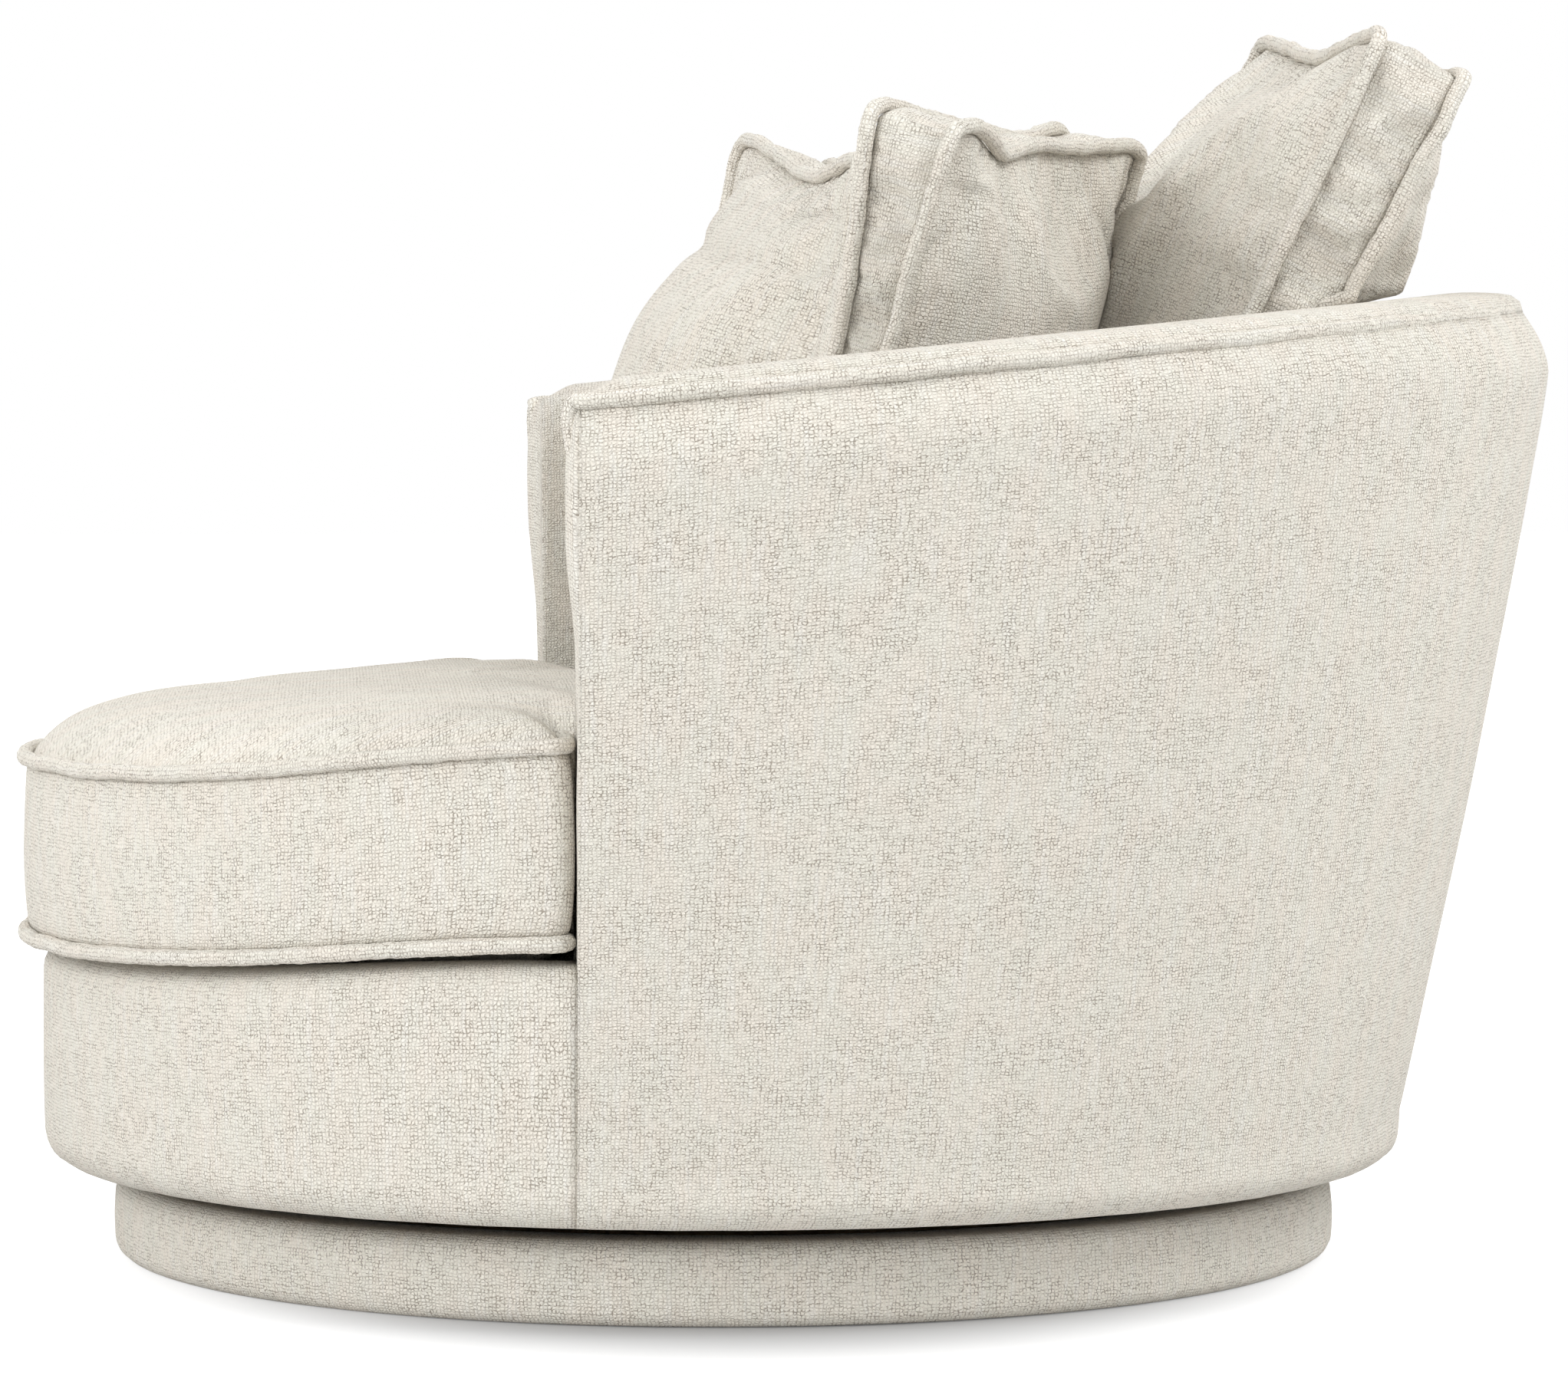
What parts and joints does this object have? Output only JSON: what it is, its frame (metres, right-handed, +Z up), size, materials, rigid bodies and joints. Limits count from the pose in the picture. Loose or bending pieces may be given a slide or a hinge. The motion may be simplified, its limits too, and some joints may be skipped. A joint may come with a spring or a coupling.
{
  "type": "swivel cuddle chair",
  "caption": "Round upholstered swivel cuddle chair: padded barrel back on a plinth, deep boxed seat cushion, loose boxed pillows, pale chenille with piping.",
  "frame": {"origin": "on the swivel axis at floor level, the centre of the plinth's underside", "axes": "+Z up, the chair faces -Y, +X is the sitter's left"},
  "size_m": [1.1834, 1.2003, 0.9725],
  "materials": {
    "chenille": "woven chenille, matt",
    "foam": "open cell foam, matt",
    "plywood": "bare, sanded",
    "fibreboard": "bare",
    "steel": "zinc plated",
    "black_cloth": "matt"
  },
  "bodies": {
    "base": {"plinth_bottom_board": "plywood", "plinth_hoop": "plywood", "plinth_top_board": "plywood", "plinth_padding": "foam", "plinth_cover": "chenille", "swivel_lower_plate": "steel", "swivel_ball_ring": "steel", "swivel_pivot": "steel", "lower_plate_screw_1": "steel", "lower_plate_screw_2": "steel", "lower_plate_screw_3": "steel", "lower_plate_screw_4": "steel"},
    "seat": {"swivel_upper_plate": "steel", "upper_plate_screw_1": "steel", "upper_plate_screw_2": "steel", "upper_plate_screw_3": "steel", "upper_plate_screw_4": "steel", "dust_cover": "black_cloth", "deck_bottom_board": "plywood", "deck_hoop": "plywood", "deck_spring_ring": "plywood", "seat_spring_1": "steel", "seat_spring_2": "steel", "seat_spring_3": "steel", "seat_spring_4": "steel", "deck_pad": "foam", "deck_cloth": "chenille", "deck_front_foam": "foam", "deck_front_cover": "chenille", "wall_rib_1": "plywood", "wall_rib_2": "plywood", "wall_rib_3": "plywood", "left_arm_post": "plywood", "right_arm_post": "plywood", "wall_top_rail": "plywood", "wall_outer_liner": "fibreboard", "wall_inner_foam": "foam", "wall_top_foam": "foam", "outside_cover": "chenille", "inside_cover": "chenille", "left_arm_front_panel": "chenille", "right_arm_front_panel": "chenille", "barrel_welt": "chenille"},
    "seat_cushion": {"seat_cushion_cover": "chenille", "seat_cushion_foam": "foam", "seat_cushion_top_welt": "chenille", "seat_cushion_bottom_welt": "chenille"},
    "left_pillow": {"left_pillow_cover": "chenille", "left_pillow_front_welt": "chenille", "left_pillow_back_welt": "chenille", "left_pillow_filling": "foam"},
    "right_pillow": {"right_pillow_cover": "chenille", "right_pillow_front_welt": "chenille", "right_pillow_back_welt": "chenille", "right_pillow_filling": "foam"},
    "back_pillow": {"back_pillow_cover": "chenille", "back_pillow_front_welt": "chenille", "back_pillow_back_welt": "chenille", "back_pillow_filling": "foam"}
  },
  "joints": [
    {"name": "seat_swivel", "type": "hinge", "parent": "base", "child": "seat", "pos_m": [0, 0, 0.0685], "axis": [0, 0, 1], "continuous": true},
    {"name": "cushion_lift", "type": "slide", "parent": "seat", "child": "seat_cushion", "axis": [0, 0, 1], "range_m": [0, 0.06]},
    {"name": "left_pillow_lift", "type": "slide", "parent": "seat_cushion", "child": "left_pillow", "axis": [0.1022, 0.2193, 0.9703], "range_m": [0, 0.08]},
    {"name": "right_pillow_lift", "type": "slide", "parent": "seat_cushion", "child": "right_pillow", "axis": [-0.024, 0.2746, 0.9613], "range_m": [0, 0.08]},
    {"name": "back_pillow_lift", "type": "slide", "parent": "seat_cushion", "child": "back_pillow", "axis": [0, 0.3907, 0.9205], "range_m": [0, 0.08]}
  ]
}
